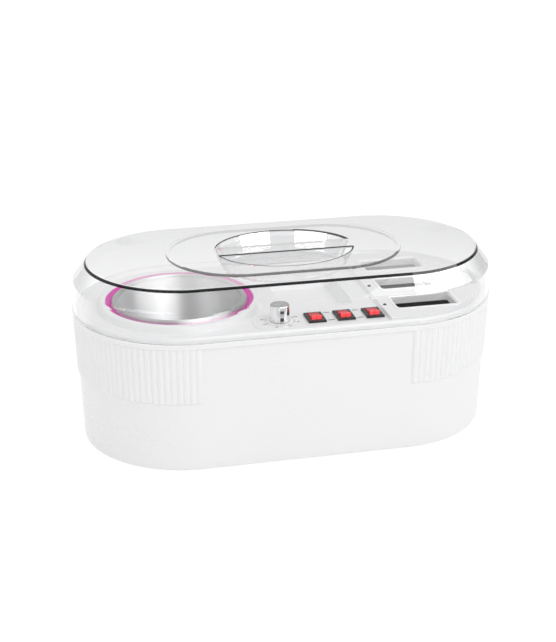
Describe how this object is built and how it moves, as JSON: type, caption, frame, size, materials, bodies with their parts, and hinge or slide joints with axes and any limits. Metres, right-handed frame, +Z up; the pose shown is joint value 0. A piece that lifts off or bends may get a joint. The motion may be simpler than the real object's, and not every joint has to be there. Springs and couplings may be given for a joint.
{
  "type": "roll-on wax heater",
  "caption": "Long round-ended wax warmer with a lift-out pot, deep slots for roll-on cartridges, rocker switches and a dial under a clear lift-off lid.",
  "frame": {"origin": "on the table under the middle of the body", "axes": "+X along the long side from the wax pot towards the cartridge slots, +Y towards the back, +Z up"},
  "size_m": [0.38, 0.1954, 0.1659],
  "materials": {
    "white_body": "gloss white moulding",
    "white_satin": "satin",
    "white_plate": "smooth white",
    "white_bezel": "gloss",
    "feet_rubber": "matt",
    "zinc_steel": "zinc plated",
    "pot_aluminium": "polished",
    "well_aluminium": "satin",
    "pink_silicone": "smooth translucent pink",
    "heater_steel": "plain",
    "heater_plate": "fired ceramic",
    "glass_fibre": "woven blanket",
    "black_plastic": "gloss black",
    "board_green": "circuit board",
    "lamp_lens": "diffused lens",
    "brass_shaft": "plain",
    "copper_bulb": "copper",
    "knob_chrome": "polished",
    "red_rocker": "translucent red",
    "lead_jacket": "silicone insulated lead",
    "clear_lid": "clear"
  },
  "bodies": {
    "base": {"housing": "white_body", "deck": "white_body", "base_cover": "white_satin", "rubber_feet": "feet_rubber", "base_screws": "zinc_steel", "deck_screws": "zinc_steel", "control_plate": "white_plate", "pink_ring": "pink_silicone", "heating_well": "well_aluminium", "band_heater": "heater_steel", "band_strap": "zinc_steel", "band_screw": "zinc_steel", "well_insulation": "glass_fibre", "well_stand": "zinc_steel", "thermal_cutout": "black_plastic", "slot_bezel_front": "white_bezel", "slot_bezel_middle": "white_bezel", "slot_bezel_rear": "white_bezel", "cartridge_sleeve_front": "well_aluminium", "cartridge_sleeve_middle": "well_aluminium", "cartridge_sleeve_rear": "well_aluminium", "sleeve_heater_front": "heater_plate", "sleeve_heater_middle": "heater_plate", "sleeve_heater_rear": "heater_plate", "heater_straps": "zinc_steel", "sleeve_cradle": "zinc_steel", "lamp_board": "board_green", "indicator_lamps": "lamp_lens", "thermostat_body": "zinc_steel", "thermostat_nut": "zinc_steel", "thermostat_bulb": "copper_bulb", "switch_body_left": "black_plastic", "switch_body_centre": "black_plastic", "switch_body_right": "black_plastic", "switch_terminals": "brass_shaft", "mains_inlet": "black_plastic", "inlet_pins": "brass_shaft", "inlet_screws": "zinc_steel", "terminal_block": "white_satin", "wiring": "lead_jacket"},
    "lid": {"lid": "clear_lid"},
    "wax_pot": {"wax_pot": "pot_aluminium"},
    "knob": {"knob": "knob_chrome", "thermostat_shaft": "brass_shaft"},
    "rocker_left": {"rocker_left": "red_rocker"},
    "rocker_centre": {"rocker_centre": "red_rocker"},
    "rocker_right": {"rocker_right": "red_rocker"}
  },
  "joints": [
    {"name": "lid_lift", "type": "slide", "parent": "base", "child": "lid", "axis": [0, 0, 1], "range_m": [0, 0.26]},
    {"name": "pot_lift", "type": "slide", "parent": "base", "child": "wax_pot", "axis": [0, 0, 1], "range_m": [0, 0.12]},
    {"name": "knob_turn", "type": "hinge", "parent": "base", "child": "knob", "pos_m": [-0.0182, -0.0619, 0.131], "axis": [0, 0, -1], "range_deg": [-111, 110]},
    {"name": "rocker_left_tilt", "type": "hinge", "parent": "base", "child": "rocker_left", "pos_m": [0.01245, -0.0642, 0.12072], "axis": [1, 0, 0], "range_deg": [0, 22]},
    {"name": "rocker_centre_tilt", "type": "hinge", "parent": "base", "child": "rocker_centre", "pos_m": [0.03845, -0.0642, 0.12072], "axis": [1, 0, 0], "range_deg": [0, 22]},
    {"name": "rocker_right_tilt", "type": "hinge", "parent": "base", "child": "rocker_right", "pos_m": [0.06445, -0.0642, 0.12072], "axis": [1, 0, 0], "range_deg": [0, 22]}
  ],
  "couplings": [
    {"joint": "pot_lift", "follows": "lid_lift", "ratio": 0.46}
  ]
}
